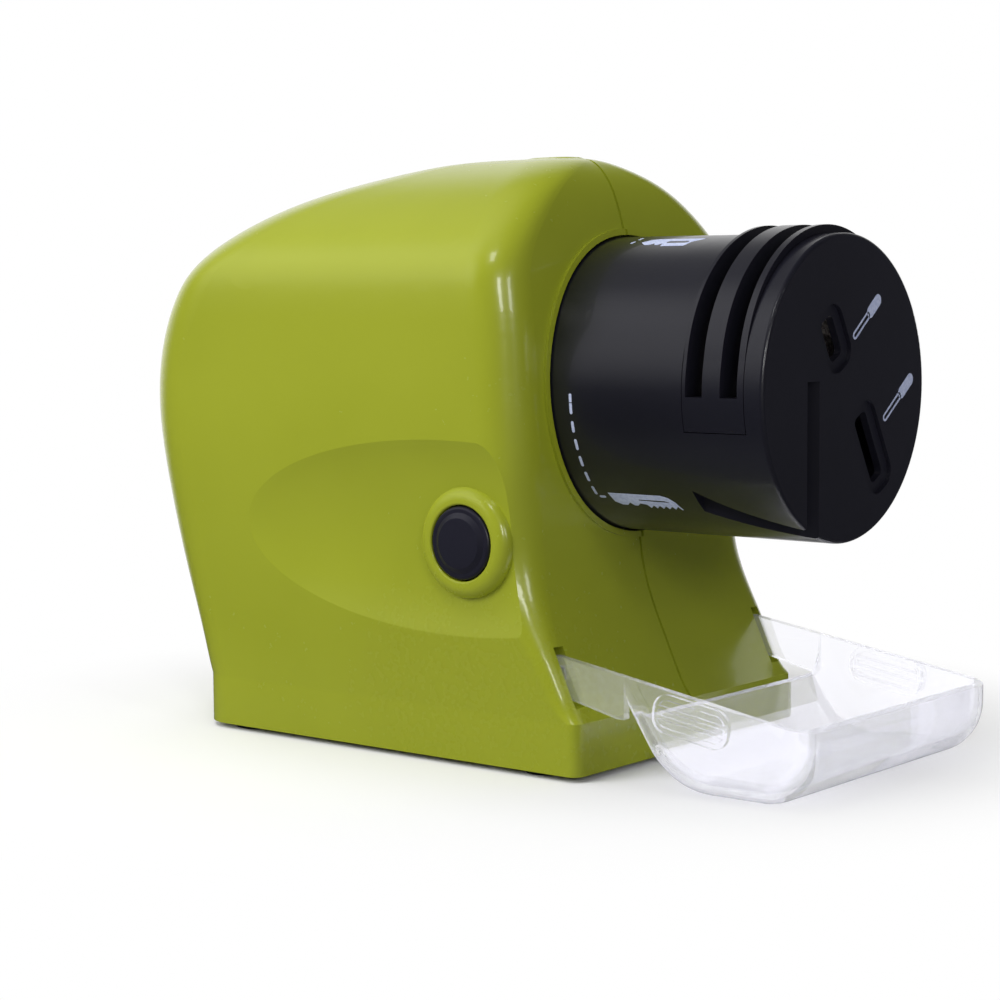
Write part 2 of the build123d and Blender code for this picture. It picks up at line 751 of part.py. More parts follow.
with BuildPart() as commutator:
    bore = shaft_radius + hole_gap
    with BuildSketch(drum_plane(commutator_rear)):
        Circle(commutator_radius)
        Circle(bore, mode=Mode.SUBTRACT)
        with PolarLocations(commutator_radius, core_poles, start_angle=90):
            Rectangle(commutator_radius / 2, commutator_slot, mode=Mode.SUBTRACT)
    extrude(amount=commutator_length)
save(commutator, "commutator")

# Flanged hub that carries the stone on the shaft.
with BuildPart() as stone_hub:
    bore = shaft_radius + hole_gap
    sleeve = stone_bore - hole_gap
    revolve(turning((stone_rear - hub_flange_thick, bore), (stone_rear - hub_flange_thick, hub_flange),
                    (stone_rear, hub_flange), (stone_rear, sleeve),
                    (stone_front, sleeve), (stone_front, bore)), axis=drum_line)
save(stone_hub, "stone_hub")

with BuildPart() as grinding_stone:
    rim = stone_rim / 2
    revolve(turning((stone_rear, stone_bore), (stone_rear, stone_side), (stone_middle - rim, stone_radius),
                    (stone_middle + rim, stone_radius), (stone_front, stone_side),
                    (stone_front, stone_bore)), axis=drum_line)
save(grinding_stone, "grinding_stone")

with BuildPart() as stone_nut:
    with BuildSketch(drum_plane(stone_front)):
        RegularPolygon(nut_radius, 6)
        Circle(shaft_radius + hole_gap, mode=Mode.SUBTRACT)
    extrude(amount=nut_thick)
save(stone_nut, "stone_nut")

# ================================================================ drum
# The slot for scissors, which runs in from the front and out through the underside.
with BuildPart() as scissor_slot:
    with BuildSketch(Plane.XY.offset(drum_axis + scissor_top)):
        with BuildLine():
            half = scissor_width / 2 / cos(radians(scissor_angle))
            slant = tan(radians(scissor_angle))
            front_x = drum_front + 1
            front_y = scissor_y + slant
            rear_y = front_y - (front_x - scissor_rear) * slant
            Polyline((front_x, front_y - half), (front_x, front_y + half),
                     (scissor_rear, rear_y + half), (scissor_rear, rear_y - half), close=True)
        make_face()
    extrude(amount=-2 * drum_radius)

# Tube with a rear web and the hub that turns on the neck.
with BuildPart() as drum_barrel:
    web_front = drum_rear + web_thick
    revolve(turning((drum_rear, hub_inner), (drum_rear, drum_radius), (cover_rear, drum_radius),
                    (cover_rear, barrel_inner), (web_front, barrel_inner), (web_front, hub_outer),
                    (hub_front, hub_outer), (hub_front, hub_inner)), axis=drum_line)
    # Window for the knife guide.
    with BuildSketch(drum_plane(guide_rear)):
        with Locations((0, -guide_low - seat_gap)):
            Rectangle(3 * drum_radius, 3 * drum_radius, align=(Align.CENTER, Align.MIN))
    extrude(amount=guide_front - guide_rear, mode=Mode.SUBTRACT)
    add(scissor_slot.part, mode=Mode.SUBTRACT)
    # Dimples for the detent's ball.
    with Locations(drum_plane(drum_rear - detent_radius + dimple_depth)):
        with PolarLocations(detent_ring, dimples, start_angle=detent_angle):
            Sphere(detent_radius, mode=Mode.SUBTRACT)
save(drum_barrel, "drum_barrel")

# Slotted guide that stands over the stone; the ribs keep the blades apart.
with BuildPart() as knife_guide:
    with BuildSketch(drum_plane(guide_rear + seat_gap)):
        Circle(drum_radius)
        with Locations((0, rib_shift)):
            Circle(rib_top - rib_shift)
        with Locations((0, -guide_low)):
            Rectangle(3 * drum_radius, 3 * drum_radius, align=(Align.CENTER, Align.MAX),
                      mode=Mode.SUBTRACT)
        Circle(guide_inner, mode=Mode.SUBTRACT)
    extrude(amount=guide_front - guide_rear - 2 * seat_gap)
    for start in (slot_rear, slot_front):
        with BuildSketch(drum_plane(start)):
            with Locations((0, slot_floor)):
                Rectangle(3 * drum_radius, 3 * drum_radius, align=(Align.CENTER, Align.MIN))
        extrude(amount=slot_width, mode=Mode.SUBTRACT)
    add(scissor_slot.part, mode=Mode.SUBTRACT)
save(knife_guide, "knife_guide")

# Front cover with the holes for screwdriver tips.
with BuildPart() as drum_cover:
    with BuildSketch(drum_plane(cover_rear)):
        Circle(drum_radius)
    extrude(amount=cover_thick)
    fillet(drum_cover.edges().group_by(Axis.X)[-1], cover_round)
    with BuildSketch(drum_plane(cover_rear)):
        Circle(barrel_inner - seat_gap)
        Circle(barrel_inner - seat_gap - spigot_wall, mode=Mode.SUBTRACT)
        with Locations((0, -guide_low - 3 * seat_gap)):
            Rectangle(3 * drum_radius, 3 * drum_radius, align=(Align.CENTER, Align.MIN),
                      mode=Mode.SUBTRACT)
    extrude(amount=-spigot_depth)
    for place, length in zip(driver_places, driver_sizes):
        with BuildSketch(drum_plane(drum_front)):
            with Locations(place):
                RectangleRounded(length + 2 * driver_border, driver_width + 2 * driver_border,
                                 driver_round + driver_border, rotation=driver_lean - 90)
        extrude(amount=-driver_sink, mode=Mode.SUBTRACT)
        with BuildSketch(drum_plane(drum_front)):
            with Locations(place):
                RectangleRounded(length, driver_width, driver_round, rotation=driver_lean - 90)
        extrude(amount=-cover_thick, mode=Mode.SUBTRACT)
    add(scissor_slot.part, mode=Mode.SUBTRACT)
save(drum_cover, "drum_cover")

# ================================================================ cells
# Open-bottomed box for four cells; the upper two lie further back, clear of the drum.
with BuildPart() as battery_holder:
    with BuildSketch(Plane.XZ):
        rear, front = -holder_rear, holder_front
        Polygon((rear, floor_top), (front, floor_top), (front, holder_step + holder_wall),
                (front - upper_shift, holder_step + holder_wall), (front - upper_shift, holder_top),
                (rear - upper_shift, holder_top), (rear - upper_shift, holder_step - holder_wall),
                (rear, holder_step - holder_wall), align=None)
    extrude(amount=holder_half, both=True)
    fillet(battery_holder.edges().group_by(Axis.Z)[-1].filter_by(Axis.X), holder_round)
    with BuildSketch(Plane.XZ):
        rear, front, ceiling = room_rear, room_front, holder_top - holder_wall
        Polygon((rear, floor_top), (front, floor_top), (front, holder_step),
                (front - upper_shift, holder_step), (front - upper_shift, ceiling),
                (rear - upper_shift, ceiling), (rear - upper_shift, holder_step),
                (rear, holder_step), align=None)
    extrude(amount=holder_half - holder_wall, both=True, mode=Mode.SUBTRACT)
save(battery_holder, "battery_holder")

# The cells lie head to tail, so that each joins the next at one end.
cell_places = ((-cell_y, cell_low, 1, 0), (cell_y, cell_low, -1, 0),
               (-cell_y, cell_high, -1, upper_shift), (cell_y, cell_high, 1, upper_shift))
nub_end = room_front - contact_thick - hole_gap
tail_end = room_rear + contact_thick + hole_gap
for number, (y, z, way, shift) in enumerate(cell_places, start=1):
    tip = (nub_end if way > 0 else tail_end) - shift
    with BuildPart() as aa_cell:
        with BuildSketch(Plane((tip, y, z), x_dir=(0, 1, 0), z_dir=(-way, 0, 0))):
            Circle(cell_nub_radius)
        extrude(amount=cell_nub)
        with BuildSketch(Plane((tip - way * cell_nub, y, z), x_dir=(0, 1, 0), z_dir=(-way, 0, 0))):
            Circle(cell_radius)
        extrude(amount=cell_length - cell_nub)
        chamfer(aa_cell.edges().filter_by(GeomType.CIRCLE).sort_by(SortBy.RADIUS)[-2:], cell_edge)
    save(aa_cell, f"aa_cell_{number}")

# Contact plates: stepped strips join the front ends in pairs, and one plate the lower rear ends.
with BuildPart() as contact_plates:
    low, high = cell_low - contact_width / 2, cell_high + contact_width / 2
    front, back = room_front, room_front - upper_shift
    for side in (-1, 1):
        with BuildSketch(shared_axis(0, 0).offset(side * cell_y - contact_width / 2)):
            Polygon((front, low), (front, holder_step), (back, holder_step), (back, high),
                    (back - contact_thick, high), (back - contact_thick, holder_step - contact_thick),
                    (front - contact_thick, holder_step - contact_thick), (front - contact_thick, low),
                    align=None)
        extrude(amount=contact_width)
    with BuildSketch(Plane((room_rear - upper_shift, 0, cell_high), x_dir=(0, 1, 0), z_dir=(1, 0, 0))):
        with GridLocations(2 * cell_y, 0, 2, 1):
            Rectangle(contact_width, contact_width)
    extrude(amount=contact_thick)
    with BuildSketch(Plane((room_rear, 0, cell_low), x_dir=(0, 1, 0), z_dir=(1, 0, 0))):
        Rectangle(2 * cell_y + contact_width, contact_width)
    extrude(amount=contact_thick)
save(contact_plates, "contact_plates")

# A bowed leaf behind the flat end of each cell.
with BuildPart() as contact_springs:
    rise = contact_spring - 2 * hole_gap
    for y, z, way, shift in cell_places:
        wall_x = (room_rear + contact_thick) if way > 0 else (room_front - contact_thick)
        with BuildSketch(Plane((wall_x - shift, y, z), x_dir=(0, 0, 1), z_dir=(0, way, 0))):
            with BuildLine():
                ThreePointArc((-leaf_length / 2, 0), (0, rise), (leaf_length / 2, 0))
                Line((leaf_length / 2, 0), (leaf_length / 2 - 2 * contact_thick, 0))
                ThreePointArc((leaf_length / 2 - 2 * contact_thick, 0), (0, rise - contact_thick),
                              (2 * contact_thick - leaf_length / 2, 0))
                Line((2 * contact_thick - leaf_length / 2, 0), (-leaf_length / 2, 0))
            make_face()
        extrude(amount=leaf_width / 2, both=True)
save(contact_springs, "contact_springs")

# Door of the battery bay, hinged on two pins at its front edge.
with BuildPart() as battery_door:
    door_length = hinge_x - (opening_front - opening_length + door_gap)
    with BuildSketch(shared_axis(hinge_x, hinge_z)):
        Circle(door_thick / 2)
        Rectangle(door_length, door_thick, align=(Align.MAX, Align.CENTER))
    extrude(amount=opening_half - door_gap, both=True)
    with BuildSketch(shared_axis(hinge_x, hinge_z)):
        Circle(hinge_radius)
    extrude(amount=opening_half - door_gap + hinge_reach, both=True)
    thumb_x = hinge_x - door_length + 2 * thumb_radius
    with BuildSketch(Plane.XY.offset(base_plane)):
        with Locations((thumb_x, 0)):
            Circle(thumb_radius)
            with Locations((-thumb_radius / 2, 0)):
                Rectangle(2 * thumb_radius, 2 * thumb_radius, align=(Align.MIN, Align.CENTER),
                          mode=Mode.SUBTRACT)
    extrude(amount=thumb_depth, mode=Mode.SUBTRACT)
save(battery_door, "battery_door")

# ================================================================ switch and button
with BuildPart() as switch_body:
    with BuildSketch(shared_axis(button_x, button_z).offset(holder_half)):
        RectangleRounded(switch_length, switch_height, switch_floor)
    extrude(amount=switch_depth)
    with BuildSketch(shared_axis(button_x, button_z).offset(holder_half + switch_floor)):
        Circle(switch_bore)
    extrude(amount=switch_depth, mode=Mode.SUBTRACT)
save(switch_body, "switch_body")

with BuildPart() as power_button:
    with BuildSketch(shared_axis(button_x, button_z).offset(flange_rear)):
        Circle(button_radius + button_flange)
    extrude(amount=button_flange_thick)
    with BuildSketch(shared_axis(button_x, button_z).offset(flange_rear)):
        Circle(button_radius)
    extrude(amount=button_rim - flange_rear)
    fillet(power_button.edges().group_by(Axis.Y)[0], button_dome)
    with BuildSketch(shared_axis(button_x, button_z).offset(button_rim)):
        Circle(button_radius - 2 * button_dome)
    extrude(amount=button_dome, taper=button_taper)
save(power_button, "power_button")

with BuildPart() as switch_plunger:
    with BuildSketch(shared_axis(button_x, button_z).offset(switch_front - plunger_entry)):
        Circle(plunger_radius)
    extrude(amount=flange_rear - switch_front + plunger_entry)
save(switch_plunger, "switch_plunger")

with BuildPart() as button_spring:
    spring_room = flange_rear - switch_front - 2 * hole_gap - spring_wire
    spring_foot = -(switch_front + hole_gap + spring_wire / 2)
    with BuildLine() as button_coil:
        Helix(spring_room / spring_turns, spring_room, spring_radius,
              center=(button_x, spring_foot, button_z), direction=(0, -1, 0))
    with BuildSketch(Plane(button_coil.line @ 0, z_dir=button_coil.line % 0)):
        RegularPolygon(spring_wire / 2, wire_sides)
    sweep()
save(button_spring, "button_spring")

# ================================================================ leads
def lead(label, *route):
    """A lead as straight runs joined by bends of one radius."""
    with BuildPart() as piece:
        with BuildLine() as path:
            FilletPolyline(*route, radius=lead_bend)
        with BuildSketch(Plane(path.line @ 0, z_dir=path.line % 0)):
            Circle(lead_radius)
        sweep()
    save(piece, label)


tab_end = cap_rear - terminal_length
lead_top = holder_top + 2 * lead_bend
switch_y = -(holder_half + switch_depth / 2)
switch_rear = button_x - switch_length / 2
lead("red_lead", (lead_start, -cell_y, holder_top), (lead_start, -cell_y, lead_top),
     (tab_end - 2 * lead_bend, switch_y, lead_top),
     (switch_rear - 2 * lead_bend, switch_y, button_z + 2 * lead_radius),
     (switch_rear, switch_y, button_z + 2 * lead_radius))
lead("switch_lead", (switch_rear, switch_y, button_z - 2 * lead_radius),
     (tab_end - 4 * lead_bend, switch_y, button_z - 2 * lead_radius),
     (tab_end - 4 * lead_bend, switch_y - lead_bend / 2, holder_top + 4 * lead_bend),
     (tab_end - 2 * lead_bend, -terminal_y, drum_axis), (tab_end, -terminal_y, drum_axis))
lead("black_lead", (lead_start, cell_y, holder_top), (lead_start, cell_y, lead_top),
     (tab_end - 3 * lead_bend, terminal_y, drum_axis), (tab_end, terminal_y, drum_axis))

# ================================================================ chip tray
rim_slant = tan(radians(tray_slope))
rear_slant = (tray_floor_rear - tray_rear) / tray_rear_height


def rim_height(x):
    """Height of the tray's rim, which climbs towards the housing."""
    return tray_rim + (tray_reach - x) * rim_slant


def bowl_profile(inset, rear, top):
    """Side view of the bowl drawn in by inset, its upper edge lifted by top."""
    shift = inset * sqrt(1 + rear_slant ** 2)
    foot = tray_floor_rear + shift - inset * rear_slant
    front = tray_reach - inset
    bend = tray_front_radius - inset
    corners = [(rear, rim_height(rear) + top), (rear, tray_rear_height)]
    if rear < tray_rear:
        corners.append((tray_rear + shift, tray_rear_height))
    with BuildSketch(Plane.XZ) as side:
        with BuildLine():
            Polyline(*corners, (foot, inset), (front - bend, inset))
            CenterArc((front - bend, tray_front_radius), bend, 270, 90)
            Polyline((front, tray_front_radius), (front, rim_height(front) + top),
                     (rear, rim_height(rear) + top))
        make_face()
    return side.sketch


def lower_edges(piece, half):
    """The edges along both sides of a bowl, from the rear wall to the front corners."""
    along = piece.edges().filter_by(lambda edge: abs(abs(edge.center().Y) - half) < 0.01)
    return along.filter_by(lambda edge: edge.center().Z < tray_rim)


with BuildPart() as bowl_room:
    extrude(bowl_profile(tray_wall, tray_rear - tray_wall, tray_wall), amount=tray_half - tray_wall, both=True)
    fillet(lower_edges(bowl_room, tray_half - tray_wall), tray_edge_radius - tray_wall)

with BuildPart() as chip_tray:
    extrude(bowl_profile(0, tray_rear, 0), amount=tray_half, both=True)
    fillet(lower_edges(chip_tray, tray_half), tray_edge_radius)
    add(bowl_room.part, mode=Mode.SUBTRACT)
    # Arm on the button side, its pin, and a finger grip, then the same on the far side.
    with BuildSketch(shared_axis(0, 0).offset(tray_half - tray_wall)):
        with Locations((tray_pivot_x, tray_pivot_z)):
            Circle(arm_root)
        Polygon((tray_rear, rim_height(tray_rear)), (tray_rear, tray_rear_height),
                (tray_rear - tray_wall, tray_rear_height), align=None)
        make_hull()
    extrude(amount=tray_wall)
    with BuildSketch(shared_axis(tray_pivot_x, tray_pivot_z).offset(tray_half - tray_wall)):
        Circle(pin_radius)
    extrude(amount=-pin_length)
    with BuildSketch(shared_axis(grip_x, grip_z).offset(tray_half)):
        RectangleRounded(grip_length, grip_height, grip_round, rotation=-tray_slope)
    extrude(amount=grip_proud)
    pocket_height = grip_height - 2 * grip_border
    with BuildSketch(shared_axis(grip_x, grip_z).offset(tray_half + grip_proud)):
        RectangleRounded(grip_length - 2 * grip_border, pocket_height, grip_round - grip_border,
                         rotation=-tray_slope)
        for rib in range(1, grip_ribs + 1):
            across = pocket_height * (rib / (grip_ribs + 1) - 0.5)
            with Locations((across * sin(radians(tray_slope)), across * cos(radians(tray_slope)))):
                Rectangle(grip_length, grip_rib, rotation=-tray_slope, mode=Mode.SUBTRACT)
    extrude(amount=-grip_pocket, mode=Mode.SUBTRACT)
    split(bisect_by=Plane.XZ, keep=Keep.TOP)
    mirror(about=Plane.XZ)
save(chip_tray, "chip_tray")
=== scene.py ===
import math

import bmesh
import bpy
from mathutils import Matrix, Vector


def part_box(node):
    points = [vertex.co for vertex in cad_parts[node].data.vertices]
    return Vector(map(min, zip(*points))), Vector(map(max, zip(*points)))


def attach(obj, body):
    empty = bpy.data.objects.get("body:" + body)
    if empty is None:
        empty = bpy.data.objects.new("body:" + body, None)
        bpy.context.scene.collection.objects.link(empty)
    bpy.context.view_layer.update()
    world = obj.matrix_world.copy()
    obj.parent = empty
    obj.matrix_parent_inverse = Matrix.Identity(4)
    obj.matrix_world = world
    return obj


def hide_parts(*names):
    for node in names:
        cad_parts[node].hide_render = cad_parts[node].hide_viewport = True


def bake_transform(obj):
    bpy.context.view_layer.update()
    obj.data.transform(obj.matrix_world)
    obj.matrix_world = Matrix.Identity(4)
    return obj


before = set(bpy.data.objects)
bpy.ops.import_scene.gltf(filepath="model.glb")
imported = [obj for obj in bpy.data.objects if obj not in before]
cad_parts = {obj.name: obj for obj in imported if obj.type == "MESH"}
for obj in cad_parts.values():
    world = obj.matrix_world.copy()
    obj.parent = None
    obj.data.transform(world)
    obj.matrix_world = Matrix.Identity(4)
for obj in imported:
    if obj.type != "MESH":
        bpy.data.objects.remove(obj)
bpy.ops.object.select_all(action="DESELECT")
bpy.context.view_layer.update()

# ================================================================ camera
# A product shot from ahead of the button side, just above the height of the drum,
# with a long lens.
camera_place = Vector((0.2130, -0.2609, 0.06376))
camera_yaw = 0.681
camera_pitch = 0.093
camera_roll = -0.007
camera_lens = 85.26
camera_sensor = 36

camera_data = bpy.data.cameras.new("studio_camera")
camera_data.lens = camera_lens
camera_data.sensor_width = camera_sensor
camera = bpy.data.objects.new("studio_camera", camera_data)
bpy.context.scene.collection.objects.link(camera)
sight = Vector((-math.sin(camera_yaw) * math.cos(camera_pitch),
                math.cos(camera_yaw) * math.cos(camera_pitch), -math.sin(camera_pitch)))
aim = sight.to_track_quat("-Z", "Y").to_matrix().to_4x4()
camera.matrix_world = Matrix.Translation(camera_place) @ aim @ Matrix.Rotation(camera_roll, 4, "Z")
bpy.context.scene.camera = camera
bpy.context.scene.view_settings.view_transform = "Standard"


# ================================================================ world and floor
# A white backdrop behind the object. Glossy surfaces mirror a dim room with soft light
# near the backdrop and high on the left; the clear tray shows only white through itself.
# The pale floor keeps the object's shadow and runs into the backdrop away from it.
class Flow:
    """A value on its way through the nodes, so that shader maths is written as sums."""

    def __init__(self, graph, socket):
        self.graph = graph
        self.socket = socket

    def maths(self, operation, *values):
        return self.graph.maths(operation, *values)

    def __add__(self, other):
        return self.maths("ADD", self, other)

    def __sub__(self, other):
        return self.maths("SUBTRACT", self, other)

    def __mul__(self, other):
        return self.maths("MULTIPLY", self, other)

    def __truediv__(self, other):
        return self.maths("DIVIDE", self, other)

    def __rsub__(self, other):
        return self.maths("SUBTRACT", other, self)

    __radd__ = __add__
    __rmul__ = __mul__

    def above(self, level):
        return self.maths("GREATER_THAN", self, level)

    def ramp(self, start, end):
        """0 up to start, 1 from end on, and a smooth step between them."""
        return self.graph.node("ShaderNodeMapRange", {"interpolation_type": "SMOOTHSTEP"},
                               {"Value": self, "From Min": start, "From Max": end})


class Graph:
    """The nodes of a finish or of the world. node() adds any kind of node."""

    def __init__(self, owner):
        owner.use_nodes = True
        self.owner = owner
        self.nodes = owner.node_tree.nodes
        self.links = owner.node_tree.links

    def feed(self, socket, value):
        if isinstance(value, Flow):
            self.links.new(value.socket, socket)
        elif isinstance(value, tuple) and socket.type == "RGBA" and len(value) == 3:
            socket.default_value = (*value, 1)
        else:
            socket.default_value = value

    def node(self, kind, settings=None, sockets=None, output=0):
        new = self.nodes.new(kind)
        for key, value in (settings or {}).items():
            setattr(new, key, value)
        for key, value in (sockets or {}).items():
            self.feed(new.inputs[key], value)
        return Flow(self, new.outputs[output])

    def maths(self, operation, *values):
        return self.node("ShaderNodeMath", {"operation": operation}, dict(enumerate(values)))

    def mixed(self, share, first, second):
        """One colour running into another as share goes from 0 to 1."""
        return self.node("ShaderNodeMix", {"data_type": "RGBA"}, {0: share, 6: first, 7: second}, 2)


ambient = 0.16
mirror_dim = 0.03
backdrop_reach = (0.50, 0.93)
high_glow = ((-0.63, -0.05, 0.775), (0.78, 1.0), 0.18)
left_glow = ((-0.58, -0.62, 0.53), (0.80, 1.0), 0.70)
room = Graph(bpy.data.worlds.new("studio_room"))
bpy.context.scene.world = room.owner
seen = room.node("ShaderNodeLightPath", output="Is Camera Ray")
mirrored = room.node("ShaderNodeLightPath", output="Is Glossy Ray")
scattered = room.node("ShaderNodeLightPath", output="Diffuse Depth").above(0.5)
through = room.node("ShaderNodeLightPath", output="Transmission Depth").above(0.5) * (1 - scattered)
heading = room.node("ShaderNodeTexCoord", output="Generated")


def dotted(graph, first, second):
    """How far two directions point the same way, 1 where they are one."""
    return graph.node("ShaderNodeVectorMath", {"operation": "DOT_PRODUCT"}, {0: first, 1: second}, "Value")


glow = mirror_dim + (1 - mirror_dim) * dotted(room, heading, tuple(sight)).ramp(*backdrop_reach)
for direction, reach, strength in (high_glow, left_glow):
    glow = glow + strength * dotted(room, heading, direction).ramp(*reach)
white = room.maths("MAXIMUM", seen, through)
level = white + (1 - white) * (mirrored * glow + (1 - mirrored) * ambient)
room.feed(room.nodes["Background"].inputs["Color"], (1.0, 1.0, 1.0))
room.feed(room.nodes["Background"].inputs["Strength"], level)

floor_half = 3.0
floor_drop = 0.00005
floor_colour = (0.93, 0.93, 0.94)
floor_bounce = (0.38, 0.38, 0.39)
floor_mirrored = (0.10, 0.10, 0.11)
floor_roughness = 0.9
shadow_reach = (0.050, 0.095)
mirror_floor = 0.03
behind_reach = (0.55, 0.92)
bpy.ops.mesh.primitive_plane_add(size=2 * floor_half, location=(0, 0, -floor_drop))
floor = bpy.context.object
floor.name = "studio_floor"
bpy.ops.object.transform_apply(location=True)
ground = Graph(bpy.data.materials.new("pale_floor"))
lit = ground.node("ShaderNodeLightPath", output="Is Diffuse Ray")
glanced = ground.node("ShaderNodeLightPath", output="Is Glossy Ray")
scattered = ground.node("ShaderNodeLightPath", output="Diffuse Depth").above(0.5)
through = ground.node("ShaderNodeLightPath", output="Transmission Depth").above(0.5) * (1 - scattered)
shown = ground.mixed(glanced * (1 - through), floor_colour, floor_mirrored)
card = ground.nodes["Principled BSDF"]
ground.feed(card.inputs["Base Color"], ground.mixed(lit, shown, floor_bounce))
ground.feed(card.inputs["Roughness"], floor_roughness)
ground.feed(card.inputs["Specular IOR Level"], 0.0)
spot = ground.node("ShaderNodeTexCoord", output="Object")
distance = ground.node("ShaderNodeVectorMath", {"operation": "LENGTH"}, {0: spot}, "Value")
behind = dotted(ground, spot, tuple(sight)) / distance
dimmed = glanced * (1 - mirror_floor) * (1 - behind.ramp(*behind_reach))
paper_level = ground.maths("MAXIMUM", through, 1 - dimmed)
paper = ground.node("ShaderNodeEmission", sockets={"Color": (1.0, 1.0, 1.0), "Strength": paper_level})
share = ground.maths("MAXIMUM", distance.ramp(*shadow_reach) * (1 - lit), through)
blend = ground.node("ShaderNodeMixShader", sockets={0: share, 1: Flow(ground, card.outputs[0]), 2: paper})
ground.feed(ground.nodes["Material Output"].inputs["Surface"], blend)
floor.data.materials.append(ground.owner)

# ================================================================ lamps
# Soft lamps overhead and on the left that light but aren't mirrored, a small box high in
# front for the glints, and two strips for the streaks on the front corner.
focus = Vector((0.01, 0, 0.04))


def lamp(name, place, width, height, power, mirrored=True):
    data = bpy.data.lights.new(name, "AREA")
    data.shape = "RECTANGLE"
    data.size = width
    data.size_y = height
    data.energy = power
    new = bpy.data.objects.new(name, data)
    bpy.context.scene.collection.objects.link(new)
    new.location = place
    new.rotation_euler = (focus - Vector(place)).to_track_quat("-Z", "Y").to_euler()
    new.visible_glossy = mirrored
    new.visible_transmission = False


lamp("overhead_lamp", (-0.25, -0.10, 0.85), width=0.7, height=0.6, power=4.3, mirrored=False)
lamp("left_box", (-0.35, -0.75, 0.45), width=0.5, height=0.5, power=5.2, mirrored=False)
lamp("high_box", (0.24, -0.43, 0.73), width=0.14, height=0.18, power=0.6)
lamp("near_strip", (0.584, -0.472, 0.28), width=0.10, height=0.20, power=0.9)
lamp("front_strip", (0.744, -0.200, 0.27), width=0.10, height=0.20, power=0.6)


# ================================================================ shells
# Two glossy lime shells of injection-moulded ABS, which meet on the middle plane and are
# drawn together by four screws from the far side.
def srgb(red, green, blue):
    """A colour given as it shows on a screen, each part from 11 to 255, for a shader."""
    return tuple(((shade / 255 + 0.055) / 1.055) ** 2.4 for shade in (red, green, blue))


def noise(graph, place, size, detail):
    """Cloudy noise with patches about size metres across."""
    return graph.node("ShaderNodeTexNoise", sockets={
        "Vector": place, "Scale": 1 / size, "Detail": float(detail), "Roughness": 0.5})


def finish(name, still):
    """A new finish; still holds the shader's sockets that are the same all over."""
    graph = Graph(bpy.data.materials.new(name))
    graph.shader = graph.nodes["Principled BSDF"]
    for key, value in still.items():
        graph.feed(graph.shader.inputs[key], value)
    graph.place = graph.node("ShaderNodeTexCoord", output="Object")
    return graph


def surface(graph, colour, roughness, height, depth):
    """Joins what varies over the surface to the shader; the relief is depth metres deep."""
    graph.feed(graph.shader.inputs["Base Color"], colour)
    graph.feed(graph.shader.inputs["Roughness"], roughness)
    relief = graph.node("ShaderNodeBump", sockets={"Strength": 1.0, "Distance": depth, "Height": height})
    graph.feed(graph.shader.inputs["Normal"], relief)
    return graph


def moulded(name, pale, deep, gloss, coat, ripple, ripple_depth):
    """Injection-moulded plastic: pigment drifts a little, and the skin is faintly rippled."""
    graph = finish(name, {"Coat Weight": coat, "Coat Roughness": 0.04, "IOR": 1.5})
    drift = noise(graph, graph.place, size=0.045, detail=3)
    specks = noise(graph, graph.place, size=0.0012, detail=2)
    skin = noise(graph, graph.place, size=ripple, detail=3)
    colour = graph.mixed(drift.ramp(0.3, 0.7), pale, deep)
    return surface(graph, colour, gloss + 0.05 * drift + 0.04 * specks, skin + 0.04 * specks, ripple_depth)


def dress(graph, *names):
    """Gives CAD nodes a finish."""
    for name in names:
        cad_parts[name].material_slots[0].material = graph.owner


lime_pale = srgb(160, 169, 44)
lime_deep = srgb(153, 162, 38)
lime = moulded("lime_plastic", lime_pale, lime_deep, gloss=0.22, coat=0.35,
               ripple=0.006, ripple_depth=0.00002)
dress(lime, "left_shell", "right_shell", "battery_door")

# ================================================================ drum
# Near-black barrel, slotted guide and cover, moulded in the same kind of plastic as the
# shells with a slightly duller polish. The guide stands in the barrel's window, and the
# cover's spigot is pressed into the barrel.
black_pale = srgb(24, 24, 33)
black_deep = srgb(19, 19, 27)
black = moulded("black_plastic", black_pale, black_deep, gloss=0.27, coat=0.25,
                ripple=0.004, ripple_depth=0.00002)
dress(black, "drum_barrel", "knife_guide", "drum_cover")

# ================================================================ button
# Push button of dark violet-grey plastic with a domed face, and its white plunger.
inner_ripple = {"ripple": 0.003, "ripple_depth": 0.00003}
button_grey = moulded("button_plastic", srgb(30, 29, 42), srgb(24, 24, 36),
                      gloss=0.36, coat=0.1, **inner_ripple)
dress(button_grey, "power_button")
natural = moulded("natural_plastic", srgb(226, 224, 214), srgb(216, 214, 202),
                  gloss=0.4, coat=0.0, **inner_ripple)
dress(natural, "switch_plunger")

# ================================================================ chip tray
# Clear polystyrene tray, moulded in one piece with its arms and ribbed grips. Part of the
# light goes straight through, so that thin walls stay pale, and a shadow through it is faint.
# The tray's emission is a painted light: a faint lavender glow that brightens its walls and tints them.
clear = finish("clear_plastic", {"Transmission Weight": 0.97, "IOR": 1.48,
                                 "Emission Color": (0.72, 0.72, 1.0), "Emission Strength": 0.05})
waves = noise(clear, clear.place, size=0.012, detail=2)
tint = clear.mixed(waves.ramp(0.3, 0.7), (0.975, 0.975, 1.0), (0.965, 0.965, 0.995))
surface(clear, tint, 0.02 + 0.03 * waves, waves, depth=0.00006)
straight_through = 0.34
shade = clear.node("ShaderNodeLightPath", output="Is Shadow Ray")
window = clear.node("ShaderNodeBsdfTransparent", sockets={"Color": (0.985, 0.985, 1.0)})
bulk = Flow(clear, clear.shader.outputs[0])
glazed = clear.node("ShaderNodeMixShader", sockets={
    0: straight_through + (1 - straight_through) * shade, 1: bulk, 2: window})
clear.feed(clear.nodes["Material Output"].inputs["Surface"], glazed)

